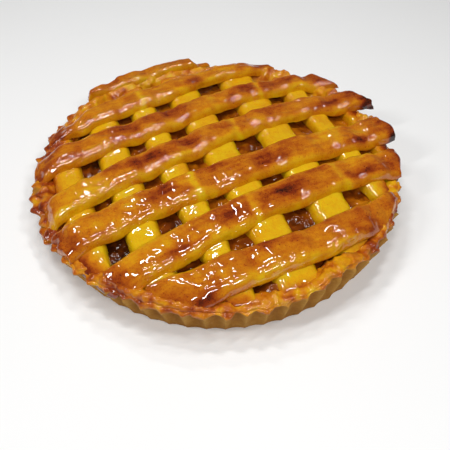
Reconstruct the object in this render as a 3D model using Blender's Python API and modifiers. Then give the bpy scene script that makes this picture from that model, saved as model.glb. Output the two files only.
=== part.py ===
"""A round apple pie with a fluted crust, a filling and a lattice of pastry strips.

The pie stands on Z = 0 with its axis on the Z axis. Seven strips lie side by side on the
filling and the rim, and seven more lie across them. Everything is in metres.
"""

import math
from typing import NamedTuple

import bmesh
import bpy
from mathutils import Vector

MM = 0.001
GAP = 0.3 * MM

# Crust: a fluted cup of shortcrust, wider at the rim than at the base
RIM_HEIGHT = 22.5 * MM
BASE_TIP_RADIUS = 109.0 * MM
RIM_TIP_RADIUS = 118.4 * MM
BASE_FLUTE_DEPTH = 1.0 * MM
RIM_FLUTE_DEPTH = 4.0 * MM
FLUTES = 64
STEPS_PER_FLUTE = 4
FLOOR_THICKNESS = 4.0 * MM
HOLLOW_BASE_RADIUS = 100.0 * MM
HOLLOW_RIM_RADIUS = 105.5 * MM
CUTTER_RISE = 5.0 * MM
TURN_STEPS = 96
MERGE_DISTANCE = 0.05 * MM

# Filling: level with the rim at its edge and slightly domed
DOME_HEIGHT = 2.0 * MM
DOME_RADIUS = 100.0 * MM
DOME_STEPS = 5

# Lattice: the upper strips run this far anticlockwise from +X, the lower ones across them
LATTICE_ANGLE = math.radians(24.0)
LOWER_THICKNESS = 5.5 * MM
UPPER_THICKNESS = 6.0 * MM
LATERAL_STEPS = 4
LATERAL_POWER = 0.7
SHOULDER = 0.5
END_WIDTH_SHARE = 0.22
END_THICKNESS_SHARE = 0.6
SAG = 2.0 * MM
PLATEAU_INSET = 1.5 * MM
LOWER_STATIONS = 14
STATION_SPACING = 2.0 * MM
END_OVERHANG = 5.0 * MM
BOW_LENGTH = 100.0 * MM
END_SEARCH_STEP = 0.5 * MM

# Each strip, in millimetres: distance from the pie's middle, the drift and the bow of
# its centre line at 100 mm from the middle, its width, and how far from the pie's axis
# its first and its last end are trimmed
LOWER_STRIPS = (
    (-95.1, 8.1, 0.0, 20.0, 115.5, 117.5),
    (-63.1, 9.4, 0.0, 22.0, 115.5, 118.5),
    (-29.7, 6.2, 0.0, 19.5, 115.5, 118.5),
    (5.1, 5.6, 0.0, 26.0, 115.5, 118.5),
    (48.3, 6.8, 0.0, 27.0, 115.5, 118.5),
    (83.2, 4.0, 0.0, 17.0, 115.5, 118.5),
    (108.5, 6.0, -6.0, 12.0, 116.0, 117.5),
)
UPPER_STRIPS = (
    (-87.5, 1.0, 5.0, 22.0, 113.0, 117.5),
    (-48.5, 8.0, -9.7, 24.0, 116.5, 117.5),
    (-16.0, 2.0, -5.0, 25.0, 117.5, 119.5),
    (20.8, 6.0, -7.5, 22.5, 117.5, 120.5),
    (52.5, 2.5, -8.0, 22.0, 118.5, 119.5),
    (85.5, 5.0, -3.7, 21.0, 117.5, 118.5),
    (110.5, 0.0, -2.0, 18.0, 119.5, 117.5),
)

CRUST_COLOUR = (0.43, 0.25, 0.10, 1.0)
FILLING_COLOUR = (0.20, 0.07, 0.015, 1.0)
LOWER_COLOUR = (0.66, 0.38, 0.03, 1.0)
UPPER_COLOUR = (0.56, 0.20, 0.025, 1.0)
CRUST_ROUGHNESS = 0.75
GLAZE_ROUGHNESS = 0.3
CRUST_SHARP_ANGLE = math.radians(30.0)
STRIP_SHARP_ANGLE = math.radians(50.0)


def clear_scene():
    for old in list(bpy.data.objects):
        bpy.data.objects.remove(old, do_unlink=True)


def new_collection(name):
    collection = bpy.data.collections.new(name)
    bpy.context.scene.collection.children.link(collection)
    return collection


def pastry_material(name, colour, roughness):
    material = bpy.data.materials.new(name)
    material.use_nodes = True
    shader = material.node_tree.nodes["Principled BSDF"]
    shader.inputs["Base Color"].default_value = colour
    shader.inputs["Roughness"].default_value = roughness
    shader.inputs["Metallic"].default_value = 0.0
    return material


def object_from(bm, name, collection, material=None):
    mesh = bpy.data.meshes.new(name)
    bm.normal_update()
    bmesh.ops.recalc_face_normals(bm, faces=bm.faces)
    bm.to_mesh(mesh)
    bm.free()
    thing = bpy.data.objects.new(name, mesh)
    collection.objects.link(thing)
    if material:
        mesh.materials.append(material)
    return thing


def shade(thing, sharp_angle):
    thing.data.shade_smooth()
    thing.data.set_sharp_from_angle(angle=sharp_angle)


# Crust


def flute_shape(angle):
    """0 at a flute's pointed tip, 1 in the round valley between two flutes."""
    return abs(math.sin(0.5 * FLUTES * angle))


def make_crust(collection, cutters, material):
    bm = bmesh.new()
    bmesh.ops.create_cone(
        bm,
        cap_ends=True,
        segments=FLUTES * STEPS_PER_FLUTE,
        radius1=BASE_TIP_RADIUS,
        radius2=RIM_TIP_RADIUS,
        depth=RIM_HEIGHT,
    )
    bmesh.ops.translate(bm, verts=bm.verts, vec=(0.0, 0.0, 0.5 * RIM_HEIGHT))
    for vert in bm.verts:
        angle = math.atan2(vert.co.y, vert.co.x)
        share = vert.co.z / RIM_HEIGHT
        depth = BASE_FLUTE_DEPTH + share * (RIM_FLUTE_DEPTH - BASE_FLUTE_DEPTH)
        radius = vert.co.xy.length - depth * flute_shape(angle)
        vert.co.x = radius * math.cos(angle)
        vert.co.y = radius * math.sin(angle)
    crust = object_from(bm, "crust", collection, material)
    cut = crust.modifiers.new("hollow", "BOOLEAN")
    cut.operation = "DIFFERENCE"
    cut.solver = "EXACT"
    cut.object = make_hollow_cutter(cutters)
    shade(crust, CRUST_SHARP_ANGLE)


def hollow_radius(height):
    """Radius of the crust's inner wall at a height, which goes on above the rim."""
    share = (height - FLOOR_THICKNESS) / (RIM_HEIGHT - FLOOR_THICKNESS)
    return HOLLOW_BASE_RADIUS + share * (HOLLOW_RIM_RADIUS - HOLLOW_BASE_RADIUS)


def make_hollow_cutter(cutters):
    above_rim = RIM_HEIGHT + CUTTER_RISE
    bm = bmesh.new()
    bmesh.ops.create_cone(
        bm,
        cap_ends=True,
        segments=TURN_STEPS,
        radius1=HOLLOW_BASE_RADIUS,
        radius2=hollow_radius(above_rim),
        depth=above_rim - FLOOR_THICKNESS,
    )
    middle = 0.5 * (above_rim + FLOOR_THICKNESS)
    bmesh.ops.translate(bm, verts=bm.verts, vec=(0.0, 0.0, middle))
    cutter = object_from(bm, "hollow_cutter", cutters)
    cutter.hide_render = True
    cutter.display_type = "WIRE"
    return cutter


# Filling


def filling_top(radius):
    """Height of the filling's top, which the lower strips rest on."""
    share = min(radius / DOME_RADIUS, 1.0)
    return RIM_HEIGHT + DOME_HEIGHT * (1.0 - share * share)


def make_filling(collection, material):
    floor = FLOOR_THICKNESS + GAP
    profile = []
    for step in range(DOME_STEPS + 1):
        radius = DOME_RADIUS * step / DOME_STEPS
        profile.append((radius, filling_top(radius)))
    profile.append((hollow_radius(RIM_HEIGHT) - GAP, RIM_HEIGHT))
    profile.append((hollow_radius(floor) - GAP, floor))
    profile.append((0.0, floor))
    mesh = bpy.data.meshes.new("filling")
    edges = [(step, step + 1) for step in range(len(profile) - 1)]
    mesh.from_pydata([(radius, 0.0, height) for radius, height in profile], edges, [])
    mesh.materials.append(material)
    filling = bpy.data.objects.new("filling", mesh)
    collection.objects.link(filling)
    turn = filling.modifiers.new("turn", "SCREW")
    turn.axis = "Z"
    turn.steps = TURN_STEPS
    turn.render_steps = TURN_STEPS
    turn.use_merge_vertices = True
    turn.merge_threshold = MERGE_DISTANCE
    turn.use_smooth_shade = True


# Lattice


class Strip:
    """The plan of one strip, along and across its own layer."""

    def __init__(self, place, drift, bow, width, first_reach, last_reach):
        self.place = place * MM
        self.drift = drift * MM
        self.bow = bow * MM
        self.half = 0.5 * width * MM
        self.first_reach = first_reach * MM
        self.last_reach = last_reach * MM

    def centre(self, along):
        share = along / BOW_LENGTH
        return self.place + self.drift * share + self.bow * share * share

    def edges(self, along):
        """Both edges across the strip, trimmed where it would pass the rim."""
        reach = self.first_reach if along < 0.0 else self.last_reach
        rim = math.sqrt(max(reach**2 - along**2, 0.0))
        near = max(self.centre(along) - self.half, -rim)
        far = min(self.centre(along) + self.half, rim)
        return near, far

    def end(self, sign):
        """How far the strip goes one way before the rim trims most of its width."""
        along = 0.0
        while True:
            near, far = self.edges(sign * (along + END_SEARCH_STEP))
            if far - near < 2.0 * self.half * END_WIDTH_SHARE:
                return sign * along
            along += END_SEARCH_STEP

    def trim_start(self, sign):
        """Where the rim begins to trim the strip, one way along it."""
        along = self.end(sign)
        while True:
            near, far = self.edges(along)
            if far - near > 2.0 * self.half - GAP:
                return along
            along -= sign * END_SEARCH_STEP


class Layer(NamedTuple):
    """What the strips of one layer share."""

    thickness: float
    is_upper: bool
    collection: bpy.types.Collection
    material: bpy.types.Material


def crown(across):
    """Share of the thickness at a place across a strip, from -1 to 1."""
    return 1.0 - SHOULDER * across**4


def world_place(along, across, height):
    """Turns a place along and across the upper strips into X, Y and Z."""
    cosine = math.cos(LATTICE_ANGLE)
    sine = math.sin(LATTICE_ANGLE)
    return Vector((along * cosine - across * sine, along * sine + across * cosine, height))


def make_strip(name, strip, stations, support, layer):
    """A slab from a grid, whose rows follow the stations along the strip.

    stations are distances along the strip, and support gives the height of what it
    rests on, from the station's number and the place along and across.
    """
    bm = bmesh.new()
    last = len(stations) - 1
    bmesh.ops.create_grid(bm, x_segments=last, y_segments=LATERAL_STEPS, size=1.0)
    grown = bmesh.ops.extrude_face_region(bm, geom=bm.faces[:])
    raised = [item for item in grown["geom"] if isinstance(item, bmesh.types.BMVert)]
    bmesh.ops.translate(bm, verts=raised, vec=(0.0, 0.0, 1.0))
    for vert in bm.verts:
        number = round(0.5 * (vert.co.x + 1.0) * last)
        across = math.copysign(abs(vert.co.y) ** LATERAL_POWER, vert.co.y)
        along = stations[number]
        near, far = strip.edges(along)
        side = 0.5 * (near + far) + 0.5 * across * (far - near)
        height = support(number, along, side) + GAP
        if vert.co.z > 0.5:
            share = END_THICKNESS_SHARE if number in (0, last) else 1.0
            height += layer.thickness * share * crown(across)
        if layer.is_upper:
            vert.co = world_place(along, side, height)
        else:
            vert.co = world_place(side, along, height)
    result = object_from(bm, name, layer.collection, layer.material)
    shade(result, STRIP_SHARP_ANGLE)


def filling_support(station, along, side):
    return filling_top(math.hypot(along, side))


def make_lower_strips(collection, material):
    layer = Layer(LOWER_THICKNESS, False, collection, material)
    strips = [Strip(*row) for row in LOWER_STRIPS]
    for number, strip in enumerate(strips, 1):
        start = strip.end(-1.0)
        pitch = (strip.end(1.0) - start) / LOWER_STATIONS
        stations = [start + pitch * step for step in range(LOWER_STATIONS + 1)]
        make_strip(f"lower_strip_{number}", strip, stations, filling_support, layer)
    return strips


def crossings(strip, lower_strips):
    """The stretches of an upper strip that lie on a lower one, as (from, to)."""
    found = []
    for lower in lower_strips:
        along = lower.centre(strip.place)
        near, far = strip.edges(along)
        within = min(far, lower.end(1.0)) > max(near, lower.end(-1.0))
        if not within:
            continue
        middle = lower.centre(strip.centre(along))
        reach = lower.half - PLATEAU_INSET
        found.append((middle - reach, middle + reach))
    return found


def end_drop(end, spans):
    """How far an end hangs below a full crossing: it bends down past the last one."""
    beyond = min(max(start - end, end - stop, 0.0) for start, stop in spans)
    return min(max(beyond - END_OVERHANG, 0.0), LOWER_THICKNESS)


def add_station(route, along):
    """Adds a station on the line between its neighbours, unless one is close by."""
    if min(abs(along - item[0]) for item in route) < STATION_SPACING:
        return
    after = next(number for number, item in enumerate(route) if item[0] > along)
    start, start_drop = route[after - 1]
    stop, stop_drop = route[after]
    share = (along - start) / (stop - start)
    route.insert(after, (along, start_drop + share * (stop_drop - start_drop)))


def upper_route(strip, lower_strips):
    """Stations along an upper strip, and how far each lies below a full crossing."""
    route = []
    spans = crossings(strip, lower_strips)
    for number, (start, stop) in enumerate(spans):
        if number:
            middle = 0.5 * (spans[number - 1][1] + start)
            route.append((middle, SAG))
        route.append((start, 0.0))
        route.append((stop, 0.0))
    low_end = strip.end(-1.0)
    high_end = strip.end(1.0)
    first = low_end + STATION_SPACING
    last = high_end - STATION_SPACING
    route = [item for item in route if first < item[0] < last]
    ends = [(end, end_drop(end, spans)) for end in (low_end, high_end)]
    route = [ends[0]] + route + [ends[1]]
    for sign in (-1.0, 1.0):
        add_station(route, strip.trim_start(sign))
        add_station(route, 0.5 * (strip.trim_start(sign) + strip.end(sign)))
    return route


def make_upper_strips(lower_strips, collection, material):
    layer = Layer(UPPER_THICKNESS, True, collection, material)
    for number, row in enumerate(UPPER_STRIPS, 1):
        strip = Strip(*row)
        route = upper_route(strip, lower_strips)
        drops = [drop for _, drop in route]

        def support(station, along, side, drops=drops):
            return filling_support(station, along, side) + GAP + LOWER_THICKNESS - drops[station]

        stations = [along for along, _ in route]
        make_strip(f"upper_strip_{number}", strip, stations, support, layer)


def main():
    clear_scene()
    parts = new_collection("apple_pie")
    cutters = new_collection("cutters")
    crust = pastry_material("crust", CRUST_COLOUR, CRUST_ROUGHNESS)
    filling = pastry_material("filling", FILLING_COLOUR, GLAZE_ROUGHNESS)
    pale_pastry = pastry_material("pale_pastry", LOWER_COLOUR, GLAZE_ROUGHNESS)
    browned_pastry = pastry_material("browned_pastry", UPPER_COLOUR, GLAZE_ROUGHNESS)
    make_crust(parts, cutters, crust)
    make_filling(parts, filling)
    lower_strips = make_lower_strips(parts, pale_pastry)
    make_upper_strips(lower_strips, parts, browned_pastry)


main()
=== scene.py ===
"""The looks of a glazed apple pie with a lattice top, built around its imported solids.

The pie stands on Z = 0 with its axis on the Z axis. Everything is in metres.
"""

from functools import partial
import itertools
import math

import bpy
import numpy as np
from mathutils import Matrix, Vector


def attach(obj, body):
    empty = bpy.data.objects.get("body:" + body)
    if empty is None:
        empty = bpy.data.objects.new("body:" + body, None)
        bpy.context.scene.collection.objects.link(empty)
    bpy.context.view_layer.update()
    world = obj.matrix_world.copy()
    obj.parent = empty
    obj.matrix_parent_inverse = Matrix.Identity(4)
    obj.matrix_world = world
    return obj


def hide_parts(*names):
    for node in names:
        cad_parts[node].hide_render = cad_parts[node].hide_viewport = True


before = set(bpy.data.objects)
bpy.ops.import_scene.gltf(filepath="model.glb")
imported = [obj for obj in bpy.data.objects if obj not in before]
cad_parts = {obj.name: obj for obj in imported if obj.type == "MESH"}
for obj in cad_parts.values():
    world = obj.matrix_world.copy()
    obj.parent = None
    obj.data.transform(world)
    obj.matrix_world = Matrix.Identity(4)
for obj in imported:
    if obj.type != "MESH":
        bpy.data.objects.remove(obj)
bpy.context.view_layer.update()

MM = 0.001

# Camera, from the photograph's perspective
CAMERA_PLACE = Vector((-4.6, -270.7, 267.6)) * MM
CAMERA_PITCH = math.radians(48.02)
CAMERA_YAW = math.radians(1.69)
CAMERA_ROLL = math.radians(-0.47)
CAMERA_LENS_MM = 44.0
CAMERA_SENSOR_MM = 36.0

# Crust
RIM_HEIGHT = 22.5 * MM
BASE_TIP_RADIUS = 109.0 * MM
RIM_TIP_RADIUS = 118.4 * MM
BASE_FLUTE_DEPTH = 1.0 * MM
RIM_FLUTE_DEPTH = 4.0 * MM
FLUTES = 64
STEPS_PER_FLUTE = 18
FLOOR_THICKNESS = 4.0 * MM
INNER_RADIUS = 104.0 * MM

FOOT_ROUND = 1.0 * MM
WALL_RINGS = 22
LIP_RINGS = 14
CREST_RINGS = 20

# Border: how blunt its flutes are, the level between tip and valley that they soften to,
# and how high its crest stands in millimetres
SOFT_TIP = 0.35
RIM_LEVEL = 0.40
RIM_RAISE = 1.2
LOBE_SIZE = 7.0 * MM
RAGGED_SIZE = 2.8 * MM
LIP_PULL = 1.6 * MM
CREST_DROP = 4.0 * MM
RIM_BAKE = 0.46
RIM_BAKE_LIMIT = 0.72
# Where the rim is toothed, where it is narrower, and where the wall is higher: azimuth
# and half width in degrees
TOOTHED_RIM = (-175.0, 42.0)
NARROW_RIM = (-80.0, 50.0)
NARROWING = 2.6 * MM
HIGH_WALL = (-56.0, 11.0)
HIGH_WALL_RAISE = 4.6 * MM
HIGH_WALL_INSET = 1.6 * MM
# Where the border's dough reaches inward over the jam: azimuth and half width in
# degrees, length in mm
INWARD_DOUGH = (
    (-53.0, 8.0, 5.5),
    (-75.0, 6.0, 7.0),
    (-90.0, 8.0, 3.0),
)
# Stretches of the rim: middle and half width of the azimuth in degrees, then how much
# higher and wider in millimetres, how much browner and how much more glazed they are
ZONE_RAISE, ZONE_SPREAD, ZONE_BROWN, ZONE_GLAZE = 2, 3, 4, 5
RIM_ZONES = (
    (-113.0, 18.0, 5.5, 0.3, 0.09, 0.5),
    (-150.0, 18.0, -0.6, 0.6, 0.14, -0.5),
    (-162.0, 5.0, 4.6, 2.2, 0.04, 0.1),
    (-171.0, 7.0, 3.2, 4.6, 0.16, -0.3),
    (175.0, 5.0, 6.2, 4.4, 0.20, -0.2),
    (163.0, 6.0, 5.0, 4.6, 0.06, 0.1),
    (-78.0, 7.0, 1.4, 0.2, 0.10, -0.1),
    (-54.0, 9.0, 0.9, -0.5, -0.02, -0.38),
    (-26.0, 16.0, 3.2, -1.4, 0.20, 0.2),
    (20.0, 7.0, 7.6, 5.0, -0.14, 0.3),
    (38.0, 6.0, 6.4, 3.6, -0.04, 0.2),
    (66.0, 26.0, 7.5, 1.2, -0.12, 0.5),
    (117.0, 20.0, 7.5, 4.2, -0.14, 0.5),
    (147.0, 12.0, 7.0, 4.2, 0.00, 0.3),
)
# Glazed dough that hangs over the rim: azimuth and half width in degrees, length in mm
TONGUES = (
    (-98.0, 1.4, 3.2),
    (-94.5, 1.0, 2.2),
    (-89.0, 1.3, 2.8),
    (-80.0, 1.2, 3.0),
    (-64.0, 1.6, 2.0),
    (-30.0, 1.4, 2.2),
    (20.0, 1.2, 2.0),
    (48.0, 1.5, 2.6),
    (97.0, 1.2, 2.0),
    (140.0, 1.4, 2.8),
)

# Burnt tips of strips: azimuth and half width in degrees, and how much browner they are
BURNT_TIPS = (
    (174.0, 3.0, 0.30),
    (161.0, 4.0, 0.24),
    (155.0, 3.0, 0.16),
    (132.0, 4.0, 0.12),
    (40.0, 4.0, 0.14),
    (25.0, 3.5, 0.34),
    (7.0, 3.0, 0.55),
    (-6.0, 3.0, 0.20),
)

# Filling
DOME_HEIGHT = 2.0 * MM
DOME_RADIUS = 100.0 * MM
FILLING_RADIUS = 104.5 * MM
FILLING_DEPTH = 1.0 * MM
FILLING_STEP = 1.0 * MM
FILLING_COLUMNS = 540
FILLING_UNDERSIDE = 12.0 * MM
LUMP_TONE = 0.26

# How pale the jam is, from 0 to 1: on the pie's axis, how much paler it is at the rim
# towards one azimuth and darker opposite, and how much and how widely it varies
JAM_TONE = 0.36
JAM_TREND = 0.16
JAM_TREND_AZIMUTH = math.radians(35.0)
JAM_UNEVEN = 0.16
JAM_UNEVEN_SIZE = 34.0 * MM

# Lattice: the upper strips run this far anticlockwise from +X, the lower ones across them
LATTICE_ANGLE = math.radians(24.0)
LOWER_THICKNESS = 5.5 * MM
UPPER_THICKNESS = 6.0 * MM
GAP = 0.3 * MM
SAG = 1.4 * MM
UPPER_SINK = 1.2 * MM
LOWER_SINK = 1.5 * MM
END_OVERHANG = 5.0 * MM
END_SEARCH_STEP = 0.5 * MM
END_WIDTH_SHARE = 0.22
BOW_LENGTH = 100.0 * MM

# Each strip, in millimetres: distance from the pie's middle, the drift and the bow of
# its centre line at 100 mm from the middle, its width, and how far from the pie's axis
# its first and its last end are trimmed
LOWER_STRIPS = (
    (-95.1, 8.1, 0.0, 20.0, 115.0, 117.5),
    (-63.1, 9.4, 0.0, 22.0, 111.5, 116.5),
    (-29.7, 6.2, 0.0, 19.5, 110.5, 116.5),
    (5.1, 5.6, 0.0, 26.0, 109.5, 117.0),
    (48.3, 6.8, 0.0, 27.0, 109.5, 118.5),
    (83.2, 4.0, 0.0, 17.0, 112.0, 118.5),
    (108.5, 6.0, -6.0, 12.0, 116.0, 119.5),
)
UPPER_STRIPS = (
    (-87.5, 1.0, 5.0, 22.0, 112.5, 114.5),
    (-48.5, 8.0, -9.7, 24.0, 113.0, 117.5),
    (-16.0, 2.0, -5.0, 25.0, 116.0, 120.5),
    (20.8, 6.0, -9.3, 22.5, 120.0, 123.0),
    (52.5, 0.5, -6.2, 22.0, 120.0, 122.0),
    (85.5, 6.0, -5.0, 20.5, 118.0, 118.5),
    (114.5, 0.0, -2.0, 16.5, 123.0, 124.5),
)

# Where an upper strip bends sideways: strip, place along it, half length, shift across
# and added width, in millimetres
BENDS = (
    (1, -30.0, 32.0, 2.0, 4.0),
    (4, 80.0, 28.0, 3.0, -2.5),
    (4, 30.0, 26.0, 2.5, -1.5),
    (5, 38.0, 30.0, 5.5, -2.0),
    (5, 84.0, 26.0, 5.0, -4.5),
    (6, 40.0, 32.0, 2.5, -4.0),
    (7, 16.0, 24.0, 3.0, 1.0),
    (7, 50.0, 14.0, 0.0, -12.0),
)

# Each strip's first and last end: how thick it is as a share of the strip's middle, and
# then for both how far it bends down, as a share of the full bend
LOWER_ENDS = (
    (0.70, 0.60, 0.6, 0.1),
    (0.60, 0.50, 1.0, 0.1),
    (0.55, 0.50, 1.0, 0.1),
    (0.55, 0.50, 1.0, 0.1),
    (0.60, 0.50, 1.0, 0.1),
    (0.60, 0.50, 1.0, 0.1),
    (0.80, 0.60, 0.5, 0.1),
)
UPPER_ENDS = (
    (0.40, 0.40, 1.1, 0.8),
    (0.35, 0.75, 0.8, 0.5),
    (0.55, 0.95, 1.1, 0.1),
    (0.45, 0.90, 1.5, 0.0),
    (0.50, 0.70, 1.2, 0.1),
    (0.55, 0.60, 1.1, 0.3),
    (1.10, 0.70, 0.6, 0.3),
)

# How far the far side of each upper strip's first end reaches beyond its near side, and
# the near side of its last end beyond its far side, in millimetres and halved
UPPER_SLANTS = (
    (0.0, 0.0),
    (0.0, 0.0),
    (0.0, 2.0),
    (0.0, 6.0),
    (1.5, 3.0),
    (0.5, 0.0),
    (0.0, 0.0),
)
SLANT_LENGTH = 22.0 * MM

# Where the glaze lies in thick ripples: the size of its patches, the levels of noise
# between which they set in, and how strong they are at the rear and at the front
GLAZE_SIZE = 18.0 * MM
GLAZE_LEVELS = (0.0, 0.45)
GLAZE_REAR = 0.8
GLAZE_FRONT = 1.3

# How much browner the foremost upper strip is, and what share of the usual browning the
# rearmost one has at its rim
FIRST_BROWNER = 0.06
REAR_EDGE_SHARE = 0.25

# The full bend over the rim, and the distances from the axis between which it grows
WRAP_DEPTH = 3.4 * MM
WRAP_START = 103.0 * MM
WRAP_END = 118.0 * MM

# Where a lower strip's edge shows as a pale crease: upper strip, and place along it in mm
CREASES = (
    (2, -2.0, 0.22),
    (2, 60.0, 0.18),
    (3, -25.0, 0.36),
    (4, 22.0, 0.26),
    (5, 57.0, 0.22),
    (6, -24.0, 0.26),
)

# The darkest browned patches on the upper strips, in millimetres: place along and across
# the lattice, half length, half width, and strength
BROWNED_PATCHES = (
    (-46, 53, 11, 5, 0.30),
    (-42, 17, 17, 6, 0.46),
    (-16, 21, 20, 6, 0.24),
    (-13, -8, 9, 5, 0.18),
    (24, 85, 10, 6, 0.20),
    (-12, 57, 16, 5, 0.20),
    (-82, 40, 8, 5, 0.20),
    (-100, 34, 9, 6, 0.16),
    (12, 24, 11, 6, 0.22),
    (-46, -14, 9, 6, 0.26),
    (18, 101, 10, 6, 0.18),
    (-87, 67, 10, 3, 0.20),
    (74, 55, 18, 5, 0.26),
    (44, 58, 16, 6, 0.16),
    (96, 17, 12, 3, 0.34),
    (78, 15, 14, 5, 0.18),
    (92, -27, 8, 4, 0.40),
    (28, -18, 14, 7, 0.34),
    (74, -54, 14, 5, 0.34),
    (21, -47, 13, 5, 0.28),
    (48, 27, 12, 6, 0.16),
    (-53, -20, 8, 5, 0.24),
    (-50, -62, 12, 3, 0.28),
    (-98, -66, 8, 5, 0.10),
    (-92, -74, 9, 3, 0.26),
    (-58, -97, 8, 4, 0.34),
    (-16, -50, 11, 7, 0.26),
    (51, -88, 8, 4, 0.10),
    (46, -100, 8, 6, 0.36),
    (-23, -98, 20, 3, 0.24),
    (-51, -97, 7, 5, 0.30),
    (110, -2, 8, 5, 0.45),
    (106, -36, 8, 6, 0.42),
    (88, -68, 9, 6, 0.34),
)


# Noise


def steady_random(cells, seed):
    """A number from -1 to 1 for each whole-number place, the same at each run."""
    x, y, z = (cells[..., axis] for axis in range(3))
    mixed = x * 374761393 + y * 668265263 + z * 1440662683 + seed * 974634777
    mixed = (mixed ^ (mixed >> 13)) * 1274126177 & 0x7FFFFFFF
    mixed = (mixed ^ (mixed >> 16)) * 461845907 & 0x7FFFFFFF
    return ((mixed >> 8) & 0xFFFF) / 32767.5 - 1.0


def noise(points, size, seed):
    """Smooth noise from -1 to 1 in bumps of about the given size."""
    places = np.asarray(points) / size
    cells = np.floor(places).astype(np.int64)
    share = places - cells
    share = share * share * (3.0 - 2.0 * share)
    total = 0.0
    for corner in itertools.product((0, 1), repeat=3):
        weight = np.prod(np.where(corner, share, 1.0 - share), axis=-1)
        total = total + weight * steady_random(cells + np.array(corner), seed)
    return total


def layered_noise(points, size, seed, layers=3):
    """Noise from -1 to 1 in which each layer is half as large and half as strong."""
    total = 0.0
    strength = 1.0
    for layer in range(layers):
        total = total + strength * noise(points, size / 2**layer, seed + 17 * layer)
        strength *= 0.5
    return total / 1.5


def smooth_step(low, high, value):
    share = np.clip((value - low) / (high - low), 0.0, 1.0)
    return share * share * (3.0 - 2.0 * share)


def as_points(x, y, z=0.0):
    return np.stack(np.broadcast_arrays(x, y, z), axis=-1)


# Places


def world_place(u, n, z):
    """Turns places along and across the upper strips into points."""
    cosine = math.cos(LATTICE_ANGLE)
    sine = math.sin(LATTICE_ANGLE)
    return as_points(u * cosine - n * sine, u * sine + n * cosine, z)


def lattice_place(points):
    """The place along and across the upper strips of each point."""
    cosine = math.cos(LATTICE_ANGLE)
    sine = math.sin(LATTICE_ANGLE)
    u = points[..., 0] * cosine + points[..., 1] * sine
    n = points[..., 1] * cosine - points[..., 0] * sine
    return u, n


def filling_top(radius):
    share = np.minimum(radius / DOME_RADIUS, 1.0)
    return RIM_HEIGHT + DOME_HEIGHT * (1.0 - share * share)


# Meshes


def new_piece(name, points, faces, material, nodes):
    """A smooth mesh that stands for CAD nodes and rides on the pie."""
    mesh = bpy.data.meshes.new(name)
    mesh.from_pydata(points.reshape(-1, 3).tolist(), [], faces)
    mesh.shade_smooth()
    mesh.materials.append(material)
    piece = bpy.data.objects.new(name, mesh)
    bpy.context.scene.collection.objects.link(piece)
    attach(piece, "root")
    if nodes:
        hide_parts(*nodes)
    return piece


def vertex_places(mesh):
    places = np.zeros(3 * len(mesh.vertices), np.float32)
    mesh.vertices.foreach_get("co", places)
    return places.reshape(-1, 3).astype(float)


def push_out(mesh, amount):
    """Moves each vertex along its normal."""
    normals = np.zeros(3 * len(mesh.vertices), np.float32)
    mesh.vertex_normals.foreach_get("vector", normals)
    moved = vertex_places(mesh) + normals.reshape(-1, 3) * np.reshape(amount, (-1, 1))
    mesh.vertices.foreach_set("co", moved.astype(np.float32).ravel())
    mesh.update()


def store(mesh, name, values):
    """Keeps a number or a vector for each vertex, which the material reads."""
    values = np.asarray(values, np.float32)
    if values.ndim > 1 and values.shape[-1] == 3:
        made = mesh.attributes.new(name, "FLOAT_VECTOR", "POINT")
        made.data.foreach_set("vector", values.ravel())
    else:
        made = mesh.attributes.new(name, "FLOAT", "POINT")
        made.data.foreach_set("value", values.ravel())


def ring_faces(rows, columns):
    """Four-cornered faces between rows of points that each close on themselves."""
    faces = []
    for row in range(rows - 1):
        here = row * columns
        for column in range(columns):
            after = (column + 1) % columns
            faces.append(
                (here + column, here + after, here + columns + after, here + columns + column)
            )
    return faces


# Materials


def add_node(tree, kind, inputs=None, **settings):
    """Adds a node, sets it and fills its inputs from values or from other nodes."""
    made = tree.nodes.new(kind)
    for name, value in settings.items():
        setattr(made, name, value)
    for name, value in (inputs or {}).items():
        socket = made.inputs[name]
        if isinstance(value, bpy.types.NodeSocket):
            tree.links.new(value, socket)
        else:
            socket.default_value = value
    return made


def new_material(name):
    material = bpy.data.materials.new(name)
    material.use_nodes = True
    return material, material.node_tree, material.node_tree.nodes["Principled BSDF"]


def stored(tree, name, output="Fac"):
    return add_node(tree, "ShaderNodeAttribute", attribute_name=name).outputs[output]


def maths(tree, operation, first, second=0.0, third=0.0, clamp=False):
    inputs = {0: first, 1: second, 2: third}
    made = add_node(tree, "ShaderNodeMath", inputs, operation=operation, use_clamp=clamp)
    return made.outputs[0]


def texture_place(tree):
    """The object's own coordinates."""
    return add_node(tree, "ShaderNodeTexCoord").outputs["Object"]


def grain(tree, place, scale, detail=3.0, roughness=0.55):
    inputs = {"Vector": place, "Scale": scale, "Detail": detail, "Roughness": roughness}
    return add_node(tree, "ShaderNodeTexNoise", inputs).outputs["Fac"]


def ramp(tree, factor, stops):
    """A colour ramp from (position, linear colour) stops."""
    made = add_node(tree, "ShaderNodeValToRGB", {"Fac": factor})
    elements = made.color_ramp.elements
    while len(elements) < len(stops):
        elements.new(0.5)
    for element, (position, colour) in zip(elements, stops):
        element.position = position
        element.color = (*colour, 1.0)
    return made.outputs["Color"]


def mix_colour(tree, factor, first, second, blend="MIX"):
    inputs = {0: factor, 6: first, 7: second}
    made = add_node(tree, "ShaderNodeMix", inputs, data_type="RGBA", blend_type=blend)
    return made.outputs[2]


def bump(tree, height, distance, strength=1.0, normal=None):
    inputs = {"Height": height, "Distance": distance, "Strength": strength}
    if normal:
        inputs["Normal"] = normal
    return add_node(tree, "ShaderNodeBump", inputs).outputs["Normal"]


PASTRY_COLOURS = (
    (0.00, (0.680, 0.450, 0.005)),
    (0.22, (0.650, 0.325, 0.004)),
    (0.42, (0.560, 0.190, 0.004)),
    (0.60, (0.400, 0.086, 0.003)),
    (0.76, (0.220, 0.026, 0.002)),
    (0.90, (0.060, 0.009, 0.002)),
    (1.00, (0.015, 0.005, 0.003)),
)


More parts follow.
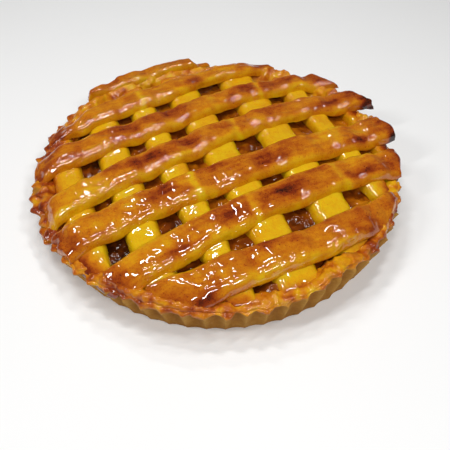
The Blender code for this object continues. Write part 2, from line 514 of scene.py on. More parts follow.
def make_pastry(name, streak_strength):
    """Glazed pastry, whose colour follows how browned each place is, with painted shade towards the
    bottom of the strips' sides.
    """
    material, tree, shader = new_material(name)
    bake = stored(tree, "bake")
    lay = stored(tree, "lay", "Vector")
    stretch = add_node(tree, "ShaderNodeMapping", {"Vector": lay, "Scale": (50, 380, 50)})
    streaks = grain(tree, stretch.outputs[0], 1.0)
    place = texture_place(tree)
    cloud = grain(tree, place, 90.0, 4.0)
    mottle = grain(tree, place, 420.0, 3.0)
    shift = maths(tree, "MULTIPLY", maths(tree, "SUBTRACT", streaks, 0.5), streak_strength)
    shift = maths(tree, "MULTIPLY_ADD", maths(tree, "SUBTRACT", cloud, 0.5), 0.42, shift)
    shift = maths(tree, "MULTIPLY_ADD", maths(tree, "SUBTRACT", mottle, 0.5), 0.28, shift)
    speckle = grain(tree, place, 1300.0, 2.0)
    speckle = maths(tree, "SUBTRACT", speckle, 0.58, clamp=True)
    shift = maths(tree, "MULTIPLY_ADD", speckle, 1.6, shift)
    level = maths(tree, "ADD", bake, shift, clamp=True)
    tree.links.new(ramp(tree, level, PASTRY_COLOURS), shader.inputs["Base Color"])
    fine = grain(tree, place, 700.0, 3.0)
    wave = grain(tree, place, 280.0, 0.0)
    dough_normal = bump(tree, fine, 0.25 * MM, 0.6)
    glaze_normal = bump(tree, wave, 0.3 * MM, 0.15)
    tree.links.new(dough_normal, shader.inputs["Normal"])
    tree.links.new(glaze_normal, shader.inputs["Coat Normal"])
    rough = maths(tree, "MULTIPLY_ADD", mottle, 0.25, 0.28)
    tree.links.new(rough, shader.inputs["Roughness"])
    shader.inputs["Specular IOR Level"].default_value = 0.0
    shader.inputs["Coat Weight"].default_value = 1.0
    shader.inputs["Coat Roughness"].default_value = 0.03
    shader.inputs["Coat IOR"].default_value = 1.62
    shader.inputs["Subsurface Weight"].default_value = 0.15
    shader.inputs["Subsurface Radius"].default_value = (1.0, 0.35, 0.08)
    shader.inputs["Subsurface Scale"].default_value = 2.5 * MM
    return material


CRUST_COLOURS = (
    (0.00, (0.230, 0.085, 0.012)),
    (0.45, (0.325, 0.140, 0.020)),
    (1.00, (0.450, 0.235, 0.048)),
)


def make_crust_material():
    """Pale shortcrust on the wall, with painted light on its flutes' tips and painted shade in
    their valleys, glazed and browned on the rim.
    """
    material, tree, shader = new_material("crust")
    bake = stored(tree, "bake")
    glaze = stored(tree, "glaze")
    place = texture_place(tree)
    cloud = grain(tree, place, 70.0, 4.0)
    mottle = grain(tree, place, 500.0, 4.0)
    plain = maths(tree, "MULTIPLY_ADD", maths(tree, "SUBTRACT", mottle, 0.5), 0.7, cloud)
    # Painted light and shade: the wall is paler on the flutes' tips and darker in their valleys.
    plain = maths(tree, "MULTIPLY_ADD", stored(tree, "tip"), 0.8, plain)
    wall = ramp(tree, plain, CRUST_COLOURS)
    shift = maths(tree, "MULTIPLY", maths(tree, "SUBTRACT", cloud, 0.5), 0.4)
    shift = maths(tree, "MULTIPLY_ADD", maths(tree, "SUBTRACT", mottle, 0.5), 0.4, shift)
    rim = ramp(tree, maths(tree, "ADD", bake, shift, clamp=True), PASTRY_COLOURS)
    colour = mix_colour(tree, glaze, wall, rim)
    tree.links.new(colour, shader.inputs["Base Color"])
    crumb = grain(tree, place, 900.0, 4.0, 0.65)
    tree.links.new(bump(tree, crumb, 0.3 * MM, 0.6), shader.inputs["Normal"])
    rough = maths(tree, "MULTIPLY_ADD", glaze, -0.42, 0.82)
    tree.links.new(rough, shader.inputs["Roughness"])
    tree.links.new(maths(tree, "MULTIPLY", glaze, 0.60), shader.inputs["Coat Weight"])
    shader.inputs["Coat Roughness"].default_value = 0.10
    shader.inputs["Coat IOR"].default_value = 1.4
    shader.inputs["Specular IOR Level"].default_value = 0.1
    return material


JAM_COLOURS = (
    (0.00, (0.026, 0.005, 0.001)),
    (0.35, (0.170, 0.033, 0.002)),
    (0.65, (0.380, 0.110, 0.003)),
    (1.00, (0.560, 0.230, 0.006)),
)


def make_filling_material():
    """Dark, wet apple jam with paler lumps."""
    material, tree, shader = new_material("filling")
    lump = stored(tree, "lump")
    place = texture_place(tree)
    cloud = grain(tree, place, 160.0, 4.0)
    level = maths(tree, "MULTIPLY_ADD", maths(tree, "SUBTRACT", cloud, 0.5), 0.7, lump)
    tree.links.new(ramp(tree, level, JAM_COLOURS), shader.inputs["Base Color"])
    wave = grain(tree, place, 330.0, 2.0)
    tree.links.new(bump(tree, wave, 0.4 * MM, 0.3), shader.inputs["Coat Normal"])
    tree.links.new(maths(tree, "MULTIPLY_ADD", cloud, 0.2, 0.3), shader.inputs["Roughness"])
    shader.inputs["Specular IOR Level"].default_value = 0.0
    shader.inputs["Coat Weight"].default_value = 1.0
    shader.inputs["Coat IOR"].default_value = 1.35
    shader.inputs["Coat Roughness"].default_value = 0.03
    return material


def make_floor_material():
    material, tree, shader = new_material("floor")
    cloud = grain(tree, texture_place(tree), 3.0, 2.0)
    tone = ramp(tree, cloud, ((0.0, (0.86, 0.86, 0.855)), (1.0, (0.90, 0.90, 0.895))))
    tree.links.new(tone, shader.inputs["Base Color"])
    shader.inputs["Roughness"].default_value = 0.9
    shader.inputs["Specular IOR Level"].default_value = 0.1
    return material


# Strips


class Strip:
    """The plan of one strip, along and across its own layer."""

    def __init__(self, row, seed, bends=()):
        place, drift, bow, width, first_reach, last_reach = row
        self.place = place * MM
        self.drift = drift * MM
        self.bow = bow * MM
        self.half = 0.5 * width * MM
        self.first_reach = first_reach * MM
        self.last_reach = last_reach * MM
        self.seed = seed
        self.bends = bends

    def bent(self, along, column):
        """What the strip's bends add at a place along it, by their column."""
        return sum(
            bend[column] * MM * np.exp(-(((along / MM - bend[1]) / bend[2]) ** 2))
            for bend in self.bends
        )

    def centre(self, along):
        share = along / BOW_LENGTH
        plain = self.place + self.drift * share + self.bow * share * share
        return plain + self.bent(along, 3)

    def edges(self, along):
        """Both edges across the strip, trimmed where it would pass the rim."""
        reach = np.where(along < 0.0, self.first_reach, self.last_reach)
        rim = np.sqrt(np.maximum(reach**2 - along**2, 0.0))
        half = self.half + 0.5 * self.bent(along, 4)
        near = np.maximum(self.centre(along) - half, -rim)
        far = np.minimum(self.centre(along) + half, rim)
        return near, far

    def end(self, sign):
        """How far the strip goes one way before the rim trims most of its width."""
        along = 0.0
        while True:
            near, far = self.edges(sign * (along + END_SEARCH_STEP))
            if far - near < 2.0 * self.half * END_WIDTH_SHARE:
                return sign * along
            along += END_SEARCH_STEP


LOWER = [Strip(row, 100 + number) for number, row in enumerate(LOWER_STRIPS)]
UPPER = [
    Strip(row, 200 + number, [bend for bend in BENDS if bend[0] == number + 1])
    for number, row in enumerate(UPPER_STRIPS)
]

STATION_STEP = 0.75 * MM
TOP_POINTS = 42
ARC_SAMPLES = 2000
TYPICAL_HALF = 11.5
TYPICAL_HEIGHT = 6.0
UNDER_POINTS = 8
END_ROUND = 3.5 * MM
END_ROWS = 8
LOWER_SECTION = (5.0, 1.5)
UPPER_SECTION = (5.4, 1.45)
END_TAPER = 14.0 * MM
END_RAGGED = 2.2 * MM
END_RAGGED_REACH = 9.0 * MM
EDGE_WANDER = 1.2 * MM
NEAR_MARGIN = 0.2 * MM
FAR_MARGIN = 0.3 * MM
# How wide and how thick a strip still is at its very ends, as shares
ROUND_WIDTH = 0.80
ROUND_HEIGHT = 0.30

# The dough's relief: height and size of its bumps, in millimetres
SOFT_LUMPS = (0.65, 14.0)
COARSE_RIPPLES = (0.60, 4.8)
FINE_RIPPLES = (0.16, 2.9)
RIDGES = (0.75, 6.5)
# How strong its ripples and ridges are at the rear and the front, and how much of them
# shows everywhere and in the wet patches
REAR_RELIEF = 1.05
FRONT_RELIEF = 1.30
PLAIN_SHARE = 0.42
WET_SHARE = 0.45
WET_SIZE = 12.0 * MM
LOWER_RELIEF_SHARE = 0.5
PILLOW_HEIGHT = 0.3 * MM
PRESSED_DEPTH = 0.4 * MM

# How browned the strips are, from 0 to 1
LOWER_BAKE = 0.11
LOWER_BAKE_LIMIT = 0.80
UPPER_BAKE = 0.26
UPPER_BAKE_LIMIT = 0.86
BROWNED_SHARPNESS = 0.8
CREASE_WIDTH = 2.4 * MM
# How much browner they get towards the rim: the distances from the axis between which
# it grows, in millimetres, and what it adds
LOWER_RIM_BROWNING = ((98.0, 108.0, 0.24), (104.0, 112.0, 0.44))
UPPER_RIM_BROWNING = ((98.0, 114.0, 0.16), (112.0, 118.0, 0.10))


def stations(strip):
    """Places along a strip, closer together where its ends round off."""
    start = strip.end(-1.0)
    stop = strip.end(1.0)
    count = int((stop - start - 2.0 * END_ROUND) / STATION_STEP)
    middle = np.linspace(start + END_ROUND, stop - END_ROUND, count)
    turn = END_ROUND * (1.0 - np.cos(np.linspace(0.0, 0.5 * math.pi, END_ROWS, endpoint=False)))
    return np.concatenate([start + turn, middle, stop - turn[::-1]])


def section(side_power, crown_power):
    """Points round a strip: (across from -1 to 1, height from 0 to 1)."""
    turn = np.linspace(0.0, math.pi, ARC_SAMPLES)
    dense_across = np.sign(np.cos(turn)) * np.abs(np.cos(turn)) ** (2.0 / side_power)
    dense_height = np.abs(np.sin(turn)) ** (2.0 / crown_power)
    steps = np.hypot(TYPICAL_HALF * np.diff(dense_across), TYPICAL_HEIGHT * np.diff(dense_height))
    length = np.concatenate([[0.0], np.cumsum(steps)])
    even = np.linspace(0.0, length[-1], TOP_POINTS)
    across = np.interp(even, length, dense_across)
    height = np.interp(even, length, dense_height)
    under = np.linspace(-1.0, 1.0, UNDER_POINTS + 2)[1:-1]
    across = np.concatenate([across, under * 0.94])
    height = np.concatenate([height, np.zeros(UNDER_POINTS)])
    return across, height


def rounded_end(along, strip):
    """0 at the strip's very ends, 1 once they have rounded off."""
    start = strip.end(-1.0)
    stop = strip.end(1.0)
    reach = np.minimum(along - start, stop - along)
    share = np.clip(reach / END_ROUND, 0.0, 1.0)
    return np.sqrt(np.maximum(1.0 - (1.0 - share) ** 2, 0.0))


def slanted(along, across, toward_end, slants):
    """Places along a strip whose ends slant."""
    lean = np.where(along < 0.0, *slants) * MM
    return along - lean * across * (1.0 - smooth_step(0.0, SLANT_LENGTH, toward_end))


def strip_edges(strip, along):
    """Both edges of a strip, which wander unevenly."""
    near, far = strip.edges(along)
    line = strip.seed * 7.0 * MM
    wander_near = layered_noise(as_points(along, 0.0, line), 26.0 * MM, strip.seed)
    wander_far = layered_noise(as_points(along, 0.1, line), 24.0 * MM, strip.seed)
    near = near + EDGE_WANDER * wander_near + NEAR_MARGIN
    far = far + EDGE_WANDER * wander_far + FAR_MARGIN
    return near, far


def ragged_ends(strip, along, side, z, toward_end):
    """How far each place moves along its strip, so that the cut ends are uneven."""
    ragged = layered_noise(as_points(side, z, strip.seed * 7.0 * MM), 5.0 * MM, strip.seed + 9)
    outward = np.sign(along) * END_RAGGED * ragged
    return outward * (1.0 - smooth_step(0.0, END_RAGGED_REACH, toward_end))


def closed_faces(rows, columns, is_upper):
    """The faces round a strip and its two caps, all of which face outward."""
    faces = ring_faces(rows, columns)
    first_cap = list(range(columns))
    last_cap = list(range((rows - 1) * columns, rows * columns))
    if is_upper:
        faces = [face[::-1] for face in faces]
        last_cap.reverse()
    else:
        first_cap.reverse()
    return faces + [first_cap, last_cap]


def make_strip(name, strip, is_upper, base, thickness, slants, relief, bake, material):
    """A closed strip of dough.

    base and thickness depend on the place along the strip and across the pie, relief is
    added along the normals, and bake says how browned each place is, with painted shade
    towards the bottom of the strip's sides.
    """
    along = stations(strip)[:, None]
    across, height = section(*(UPPER_SECTION if is_upper else LOWER_SECTION))
    near, far = strip_edges(strip, along)
    rounded = rounded_end(along, strip)
    half = 0.5 * (far - near) * (ROUND_WIDTH + (1.0 - ROUND_WIDTH) * rounded)
    side = 0.5 * (near + far) + half * across
    lift = thickness(along, side) * height * (ROUND_HEIGHT + (1.0 - ROUND_HEIGHT) * rounded)
    z = base(along, side) + lift
    toward_end = np.minimum(along - along[0], along[-1] - along)
    moved = ragged_ends(strip, along, side, z, toward_end)
    along = slanted(along, across, toward_end, slants) + moved
    u, n = (along, side) if is_upper else (side, along)
    points = world_place(u, n, z)
    piece = new_piece(name, points, closed_faces(*side.shape, is_upper), material, [name])
    mesh = piece.data
    spread = np.broadcast_to(across, side.shape)
    tall = np.broadcast_to(height, side.shape)
    store(mesh, "lay", as_points(along, side, z).reshape(-1, 3))
    store(mesh, "bake", bake(points, along, spread, tall).ravel())
    push_out(mesh, (relief(points) * (tall > 0.0)).ravel())


def wrinkles(points, size, seed):
    """Thin ridges, from 0 to 1, that wander over the dough."""
    return (1.0 - np.abs(noise(points, size, seed))) ** 4


def patches_at(points, patches, sharpness):
    """The strongest of the patches at each point, by their place on the lattice."""
    u, n = lattice_place(points)
    level = 0.0
    for place_u, place_n, half_u, half_n, strength in patches:
        reach = ((u / MM - place_u) / half_u) ** 2 + ((n / MM - place_n) / half_n) ** 2
        level = np.maximum(level, strength * np.exp(-sharpness * reach))
    return level


def bumps(kind, points, height_and_size, seed):
    """Bumps of one kind of noise, in millimetres high."""
    height, size = height_and_size
    return height * kind(points, size * MM, seed)


def thick_glaze(points):
    """How strongly the glaze ripples: in patches, and most along the pie's front."""
    n = lattice_place(points)[1]
    front = smooth_step(-60.0 * MM, -90.0 * MM, n)
    strength = GLAZE_REAR + (GLAZE_FRONT - GLAZE_REAR) * front
    return strength * smooth_step(*GLAZE_LEVELS, noise(points, GLAZE_SIZE, 65))


def dough_relief(points, seed):
    """Soft lumps and fine wrinkles on baked dough, strongest towards the pie's front."""
    n = lattice_place(points)[1]
    front = REAR_RELIEF + (FRONT_RELIEF - REAR_RELIEF) * smooth_step(20.0 * MM, -80.0 * MM, n)
    wet = 0.2 + 0.8 * smooth_step(-0.30, 0.45, noise(points, WET_SIZE, seed + 8))
    fine = bumps(noise, points, COARSE_RIPPLES, seed + 5)
    fine = fine + bumps(noise, points, FINE_RIPPLES, seed + 6)
    fine = fine + bumps(wrinkles, points, RIDGES, seed + 7)
    share = PLAIN_SHARE * front * wet
    share = share + WET_SHARE * thick_glaze(points)
    return (bumps(layered_noise, points, SOFT_LUMPS, seed) + share * fine) * MM


def end_thickness(strip, along, side, shares):
    """The share of its thickness that a strip keeps towards the rim."""
    trim = np.where(along < 0.0, strip.first_reach, strip.last_reach)
    share = np.where(along < 0.0, *shares)
    inside = smooth_step(0.0, END_TAPER, trim - np.hypot(along, side))
    return share + (1.0 - share) * inside


def rim_wrap(along, side, shares):
    """How far down a strip bends near and past the rim."""
    full = WRAP_DEPTH * smooth_step(WRAP_START, WRAP_END, np.hypot(along, side))
    return full * np.where(along < 0.0, *shares)


def axis_reach(points):
    """The distance of each point from the pie's axis."""
    return np.hypot(points[..., 0], points[..., 1])


def rim_browning(points, seed, steps):
    """How much browner a strip gets towards the rim, with an uneven border."""
    reach = axis_reach(points) + 3.0 * MM * layered_noise(points, 8.0 * MM, seed)
    return sum(added * smooth_step(start * MM, stop * MM, reach) for start, stop, added in steps)


def lower_thickness(strip, ends, along, side):
    return LOWER_THICKNESS * end_thickness(strip, along, side, ends[:2]) + LOWER_SINK


def lower_base(ends, along, side):
    rest = filling_top(np.hypot(along, side)) + GAP - LOWER_SINK
    return rest - rim_wrap(along, side, ends[2:])


def lower_relief(strip, points):
    """Dough that swells in the gaps and is pressed down below the upper strips."""
    u, n = lattice_place(points)
    cover = 0.0
    for upper in UPPER:
        reach = np.abs(n - upper.centre(u))
        covered = 1.0 - smooth_step(upper.half - 2.0 * MM, upper.half + 3.0 * MM, reach)
        cover = np.maximum(cover, covered)
    pillow = PILLOW_HEIGHT * (1.0 - cover) - PRESSED_DEPTH * cover
    return pillow + LOWER_RELIEF_SHARE * dough_relief(points, strip.seed)


def lower_browning_and_shade(strip, points, along, across, tall):
    level = LOWER_BAKE + 0.11 * layered_noise(points, 20.0 * MM, strip.seed + 3)
    level = level + 0.08 * smooth_step(-40.0 * MM, 40.0 * MM, along)
    # Painted shade: the sides grow darker and more orange towards their bottom, where they meet the
    # jam.
    level = level + 0.10 * (1.0 - tall) ** 2
    level = level + rim_browning(points, strip.seed, LOWER_RIM_BROWNING)
    return np.clip(level, 0.0, LOWER_BAKE_LIMIT)


def make_lower_strips(material):
    for number, (strip, ends) in enumerate(zip(LOWER, LOWER_ENDS), 1):
        make_strip(
            f"lower_strip_{number}",
            strip,
            False,
            partial(lower_base, ends),
            partial(lower_thickness, strip, ends),
            (0.0, 0.0),
            partial(lower_relief, strip),
            partial(lower_browning_and_shade, strip),
            material,
        )


def upper_spans(strip):
    """Where an upper strip lies on the lower ones: (middle, half width)."""
    spans = []
    for lower in LOWER:
        along = lower.centre(strip.place)
        near, far = strip.edges(along)
        if min(far, lower.end(1.0)) <= max(near, lower.end(-1.0)):
            continue
        spans.append((float(lower.centre(strip.centre(along))), lower.half))
    return spans


def upper_drop(strip, along):
    """How far an upper strip hangs below a full crossing."""
    spans = upper_spans(strip)
    held = 0.0
    nearest = np.full(np.shape(along), 1.0)
    for middle, half in spans:
        reach = np.abs(along - middle)
        held = np.maximum(held, 1.0 - smooth_step(half - 3.5 * MM, half + 4.0 * MM, reach))
        nearest = np.minimum(nearest, np.maximum(reach - half, 0.0))
    inside = (along > spans[0][0]) & (along < spans[-1][0])
    uneven = 1.0 + 0.9 * noise(as_points(along, 0.0, strip.place), 32.0 * MM, strip.seed + 2)
    sag = SAG * (1.0 - held) * uneven
    end = np.minimum(np.maximum(nearest - END_OVERHANG, 0.0), LOWER_THICKNESS)
    return np.where(inside, sag, end)


def upper_thickness(strip, ends, along, side):
    return UPPER_THICKNESS * end_thickness(strip, along, side, ends[:2]) + UPPER_SINK


def upper_base(strip, ends, along, side):
    rest = filling_top(np.hypot(along, side)) + LOWER_THICKNESS + 2.0 * GAP - UPPER_SINK
    return rest - upper_drop(strip, along) - rim_wrap(along, side, ends[2:])


def flat_top(strip, along, across):
    """1 on a strip's browned top, 0 on its paler shoulders."""
    shift = 0.14 * noise(as_points(along, 0.0, strip.place), 18.0 * MM, strip.seed + 4)
    return 1.0 - smooth_step(0.58, 0.90, np.abs(across + shift))


def crease_level(strip, number, points, along):
    """How much paler an upper strip is where a lower strip's edge shows."""
    bend = 2.0 * MM * noise(points, 9.0 * MM, strip.seed + 7)
    return sum(
        strength * np.exp(-(((along - place * MM - bend) / CREASE_WIDTH) ** 2))
        for creased, place, strength in CREASES
        if creased == number
    )


def burnt_level(points):
    """How much the burnt tips add to each point."""
    angle = np.arctan2(points[..., 1], points[..., 0])
    return bumps_at(angle, BURNT_TIPS) * smooth_step(114.0 * MM, 120.0 * MM, axis_reach(points))


def upper_browning_and_shade(strip, number, points, along, across, tall):
    flat = flat_top(strip, along, across)
    # Painted shade: the last term darkens the sides towards their bottom, where they meet the
    # strips and jam below.
    level = UPPER_BAKE + 0.18 * flat + 0.05 * (1.0 - tall) ** 2
    level = level + FIRST_BROWNER * (number == 1)
    level = level + 0.19 * layered_noise(points, 24.0 * MM, strip.seed + 3)
    level = level + 0.09 * noise(points, 5.0 * MM, strip.seed + 5)
    browned = patches_at(points, BROWNED_PATCHES, BROWNED_SHARPNESS)
    level = level + browned * (0.3 + 0.7 * flat)
    level = level - crease_level(strip, number, points, along)
    edge = rim_browning(points, strip.seed + 6, UPPER_RIM_BROWNING)
    edge = edge * (REAR_EDGE_SHARE if number == len(UPPER) else 1.0)
    level = np.minimum(level + edge, UPPER_BAKE_LIMIT)
    return np.clip(level + burnt_level(points), 0.0, 1.0)


def make_upper_strips(material):
    for number, (strip, ends, slants) in enumerate(zip(UPPER, UPPER_ENDS, UPPER_SLANTS), 1):
        make_strip(
            f"upper_strip_{number}",
            strip,
            True,
            partial(upper_base, strip, ends),
            partial(upper_thickness, strip, ends),
            slants,
            partial(dough_relief, seed=strip.seed),
            partial(upper_browning_and_shade, strip, number),
            material,
        )


# Crust


def flute_shape(angle):
    """0 at a flute's pointed tip, 1 in the round valley between two flutes."""
    return np.abs(np.sin(0.5 * FLUTES * angle))


def ring_noise(angle, size, seed):
    """Noise along the rim, without a seam."""
    points = as_points(RIM_TIP_RADIUS * np.cos(angle), RIM_TIP_RADIUS * np.sin(angle))
    return noise(points, size, seed)


def azimuth_bump(angle, middle, half_width):
    """1 at an azimuth, falling smoothly to 0 on both sides of it; both in degrees."""
    away = (np.degrees(angle) - middle + 180.0) % 360.0 - 180.0
    return np.exp(-((away / half_width) ** 2))


def bumps_at(angle, rows):
    """The sum of bumps, each given by its azimuth, half width and amount."""
    return sum(
        amount * azimuth_bump(angle, middle, half_width)
        for middle, half_width, amount in rows
    )


def zone_sum(angle, column):
    """What the rim's zones add at each azimuth, by their column."""
    return bumps_at(angle, [(zone[0], zone[1], zone[column]) for zone in RIM_ZONES])


def soft_flute(angle):
    """The flutes of the crumbly rim: unevenly shallow, and deepest on the pie's left."""
    soft = np.sqrt(flute_shape(angle) ** 2 + SOFT_TIP**2) - SOFT_TIP
    share = 0.42 + 0.40 * ring_noise(angle, 13.0 * MM, 33)
    share = share + 0.45 * azimuth_bump(angle, *TOOTHED_RIM)
    return RIM_LEVEL + np.clip(share, 0.12, 1.0) * (soft - RIM_LEVEL)


class Border:
    """The uneven border of the crust, at each azimuth."""

    def __init__(self, angle):
        self.angle = angle
        lobes = ring_noise(angle, LOBE_SIZE, 31)
        ragged = ring_noise(angle, RAGGED_SIZE, 32)
        tongue = bumps_at(angle, TONGUES) * MM
        high = azimuth_bump(angle, *HIGH_WALL)
        spread = (0.3 + 1.1 * lobes + 0.35 * ragged + zone_sum(angle, ZONE_SPREAD)) * MM
        hang = (1.4 + 1.1 * lobes + 0.4 * ragged) * MM + tongue
        self.raised = (RIM_RAISE + zone_sum(angle, ZONE_RAISE)) * MM
        self.overhang = spread + 0.3 * tongue
        self.lip_low = RIM_HEIGHT - hang + HIGH_WALL_RAISE * high
        self.lip_top = RIM_HEIGHT + 0.4 * self.raised + 0.7 * MM * lobes + HIGH_WALL_RAISE * high
        self.narrow = NARROWING * azimuth_bump(angle, *NARROW_RIM) + HIGH_WALL_INSET * high
        self.inner = INNER_RADIUS - bumps_at(angle, INWARD_DOUGH) * MM

    def wall_radius(self, z):
        share = np.minimum(z / RIM_HEIGHT, 1.0)
        tip = BASE_TIP_RADIUS + share * (RIM_TIP_RADIUS - BASE_TIP_RADIUS - self.narrow)
        depth = BASE_FLUTE_DEPTH + share * (RIM_FLUTE_DEPTH - BASE_FLUTE_DEPTH)
        return tip - depth * flute_shape(self.angle)


# Each of the next functions gives rings of the crust, from its underside over the border
# to its floor: (radius, height, glaze)


def underside_rings(border):
    foot = border.wall_radius(0.0)
    yield 30.0 * MM, 0.0, 0.0
    yield 80.0 * MM, 0.0, 0.0
    yield foot - 1.2 * MM, 0.0, 0.0
    for share in (0.15, 0.5, 0.85):
        turn = 0.5 * math.pi * share
        yield foot - FOOT_ROUND * (1.0 - math.sin(turn)), FOOT_ROUND * (1.0 - math.cos(turn)), 0.0


def wall_rings(border):
    for share in np.linspace(0.05, 1.0, WALL_RINGS):
        z = FOOT_ROUND + share * (border.lip_low - FOOT_ROUND)
        yield border.wall_radius(z), z, 0.0


def lip_rings(border):
    """The border's bulging edge, whose upper part is glazed."""
    softened = RIM_FLUTE_DEPTH * (flute_shape(border.angle) - soft_flute(border.angle))
    for share in np.linspace(0.08, 1.0, LIP_RINGS):
        turn = math.pi * share
        middle = 0.5 * (border.lip_low + border.lip_top)
        z = middle - 0.5 * (border.lip_top - border.lip_low) * math.cos(turn)
        bulge = border.overhang * math.sin(turn) ** 0.6 if share < 1.0 else 0.0
        pull = LIP_PULL * max(0.0, 2.0 * share - 1.0) ** 2
        radius = border.wall_radius(z) + softened * share + bulge - pull
        yield radius, z, float(smooth_step(0.32, 0.72, share))


def crest_rings(border):
    """The border's top, from its edge down into the jam."""
    outer = RIM_TIP_RADIUS - border.narrow - RIM_FLUTE_DEPTH * soft_flute(border.angle) - LIP_PULL
    for share in np.linspace(0.06, 1.0, CREST_RINGS):
        fade = (1.0 - share) ** 2
        smooth = outer.mean() + share * (border.inner - outer.mean())
        crest = 0.6 * border.raised * math.sin(0.5 * math.pi * min(1.0, 2.5 * share))
        z = border.lip_top + crest - (CREST_DROP + border.raised) * share**4
        yield outer * fade + (1.0 - fade) * smooth, z, 1.0


def inside_rings(border):
    for z in (17.0 * MM, 10.0 * MM, FLOOR_THICKNESS):
        yield border.inner - 1.0 * MM, z, 0.3
    yield 60.0 * MM, FLOOR_THICKNESS, 0.0


def crust_rings(border):
    yield from underside_rings(border)
    yield from wall_rings(border)
    yield from lip_rings(border)
    yield from crest_rings(border)
    yield from inside_rings(border)


def colour_crust(mesh, points, gloss):
    """Says how browned and how glazed each place is, and how near a flute's tip, which the wall
    uses for painted light on the tips and painted shade in the valleys.
    """
    angle = np.arctan2(points[:, 1], points[:, 0])
    tips = 1.0 - flute_shape(angle)
    toothed = 0.25 + 0.75 * azimuth_bump(angle, *TOOTHED_RIM)
    level = RIM_BAKE + zone_sum(angle, ZONE_BROWN) + 0.34 * toothed * (tips - 0.4)
    level = level + 0.28 * layered_noise(points, 12.0 * MM, 41)
    level = level + 0.20 * noise(points, 3.5 * MM, 42)
    cover = zone_sum(angle, ZONE_GLAZE) + 0.6 * toothed * tips
    cover = cover + 0.60 * layered_noise(points, 11.0 * MM, 47)
    store(mesh, "bake", np.clip(level, 0.0, RIM_BAKE_LIMIT))
    store(mesh, "glaze", gloss * smooth_step(-0.60, -0.15, cover))
    # Painted light and shade for the wall: paler on the flutes' tips, darker in their valleys,
    # fading out towards the foot.
    store(mesh, "tip", (tips - 0.36) * smooth_step(2.0 * MM, 16.0 * MM, points[:, 2]))


def crust_relief(points, gloss):
    """A finely rough wall and a lumpy border."""
    rough = bumps(noise, points, (0.10, 2.0), 43) + bumps(noise, points, (0.10, 6.0), 44)
    lumps = bumps(layered_noise, points, (1.5, 6.5), 45)
    lumps = lumps + bumps(noise, points, (0.60, 2.4), 46)
    lumps = lumps + bumps(wrinkles, points, (0.6, 5.0), 48)
    above_foot = points[:, 2] > 0.5 * MM
    return (rough + lumps * gloss) * MM * above_foot


def make_crust(material):
    angle = np.linspace(-math.pi, math.pi, FLUTES * STEPS_PER_FLUTE, endpoint=False)
    rings = [np.broadcast_arrays(*ring, angle)[:3] for ring in crust_rings(Border(angle))]
    radius, z, gloss = (np.stack(column) for column in zip(*rings))
    points = as_points(radius * np.cos(angle), radius * np.sin(angle), z)
    total, columns = z.shape
    faces = ring_faces(total, columns)
    faces.append(list(range(columns))[::-1])
    faces.append(list(range((total - 1) * columns, total * columns)))
    piece = new_piece("crust_pastry", points, faces, material, ["crust"])
    flat = points.reshape(-1, 3)
    colour_crust(piece.data, flat, gloss.ravel())
    push_out(piece.data, crust_relief(flat, gloss.ravel()))


# Filling


def jam_tone(x, y):
    """The mean tone of the jam, paler towards one side and uneven from place to place."""
    toward = x * math.cos(JAM_TREND_AZIMUTH) + y * math.sin(JAM_TREND_AZIMUTH)
    uneven = noise(as_points(x, y), JAM_UNEVEN_SIZE, 64)
    return JAM_TONE + JAM_TREND * toward / FILLING_RADIUS + JAM_UNEVEN * uneven


def make_filling(material):
    """A disc of lumpy jam, closed by a plain underside."""
    rings = int(FILLING_RADIUS / FILLING_STEP)
    angle = np.linspace(-math.pi, math.pi, FILLING_COLUMNS, endpoint=False)
    radius = np.linspace(1.0 * MM, FILLING_RADIUS, rings)[:, None]
    x = radius * np.cos(angle)
    y = radius * np.sin(angle)
    flat = as_points(x, y)
    lump = layered_noise(flat, 9.0 * MM, 61)
    relief = 2.2 * lump + bumps(noise, flat, (0.5, 2.6), 62) + bumps(wrinkles, flat, (1.0, 5.5), 63)
    top = as_points(x, y, filling_top(radius) - FILLING_DEPTH + relief * MM)
    under = as_points(x[-1:], y[-1:], FILLING_UNDERSIDE)
    faces = [face[::-1] for face in ring_faces(rings + 1, FILLING_COLUMNS)]
    faces.append(list(range(FILLING_COLUMNS)))
    faces.append(list(range(rings * FILLING_COLUMNS, (rings + 1) * FILLING_COLUMNS))[::-1])
    points = np.concatenate([top, under])
    piece = new_piece("filling_jam", points, faces, material, ["filling"])
    hidden = np.full_like(lump[-1:], 0.3)
    level = np.concatenate([jam_tone(x, y) + LUMP_TONE * lump, hidden])
    store(piece.data, "lump", np.clip(level, 0.0, 1.0).ravel())


# Stage


def make_floor(material):
    bpy.ops.mesh.primitive_plane_add(size=8.0, location=(0.0, 0.0, -0.1 * MM))
    floor = bpy.context.object
    floor.name = "floor"
    floor.data.materials.append(material)


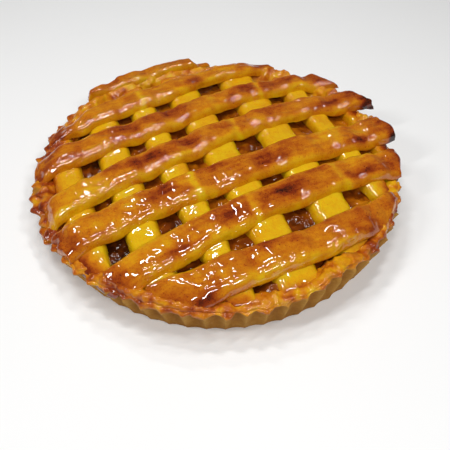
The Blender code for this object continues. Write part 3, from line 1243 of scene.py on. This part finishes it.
def make_camera():
    data = bpy.data.cameras.new("camera")
    data.lens = CAMERA_LENS_MM
    data.sensor_width = CAMERA_SENSOR_MM
    data.clip_start = 0.01
    data.clip_end = 20.0
    camera = bpy.data.objects.new("camera", data)
    bpy.context.scene.collection.objects.link(camera)
    yaw = Matrix.Rotation(-CAMERA_YAW, 4, "Z")
    pitch = Matrix.Rotation(0.5 * math.pi - CAMERA_PITCH, 4, "X")
    roll = Matrix.Rotation(CAMERA_ROLL, 4, "Z")
    camera.matrix_world = Matrix.Translation(CAMERA_PLACE) @ yaw @ pitch @ roll
    bpy.context.scene.camera = camera


# Softboxes: name, place, width, length, turn about the vertical in degrees, power in watts
SOFTBOXES = (
    ("overhead", (-0.10, -0.06, 0.90), 0.030, 0.30, 0.0, 1.3),
    ("rear", (-0.10, 0.42, 0.74), 0.030, 0.12, 60.0, 0.6),
    ("top", (0.14, 0.22, 0.86), 0.030, 0.16, -40.0, 0.8),
    ("front", (0.19, -0.60, 0.68), 0.055, 0.46, 90.0, 3.1),
    ("left", (-0.27, 0.18, 0.84), 0.042, 0.18, 30.0, 1.3),
    ("right", (0.40, -0.25, 0.84), 0.055, 0.18, -30.0, 1.3),
    ("side", (-0.58, -0.27, 0.62), 0.060, 0.20, 0.0, 1.6),
)
WORLD_STRENGTH = 0.08


def make_lights():
    for name, place, width, length, turn, power in SOFTBOXES:
        data = bpy.data.lights.new(name, "AREA")
        data.shape = "RECTANGLE"
        data.size = width
        data.size_y = length
        data.energy = power
        light = bpy.data.objects.new(name, data)
        bpy.context.scene.collection.objects.link(light)
        aim = (-Vector(place)).to_track_quat("-Z", "Y").to_matrix().to_4x4()
        aim = aim @ Matrix.Rotation(math.radians(turn), 4, "Z")
        light.matrix_world = Matrix.Translation(place) @ aim
    world = bpy.data.worlds.new("studio")
    world.use_nodes = True
    background = world.node_tree.nodes["Background"]
    background.inputs["Color"].default_value = (1.0, 1.0, 1.0, 1.0)
    background.inputs["Strength"].default_value = WORLD_STRENGTH
    bpy.context.scene.world = world
    bpy.context.scene.view_settings.view_transform = "Standard"


def main():
    make_crust(make_crust_material())
    make_filling(make_filling_material())
    make_lower_strips(make_pastry("pale_pastry", 0.06))
    make_upper_strips(make_pastry("browned_pastry", 0.30))
    make_floor(make_floor_material())
    make_camera()
    make_lights()


main()
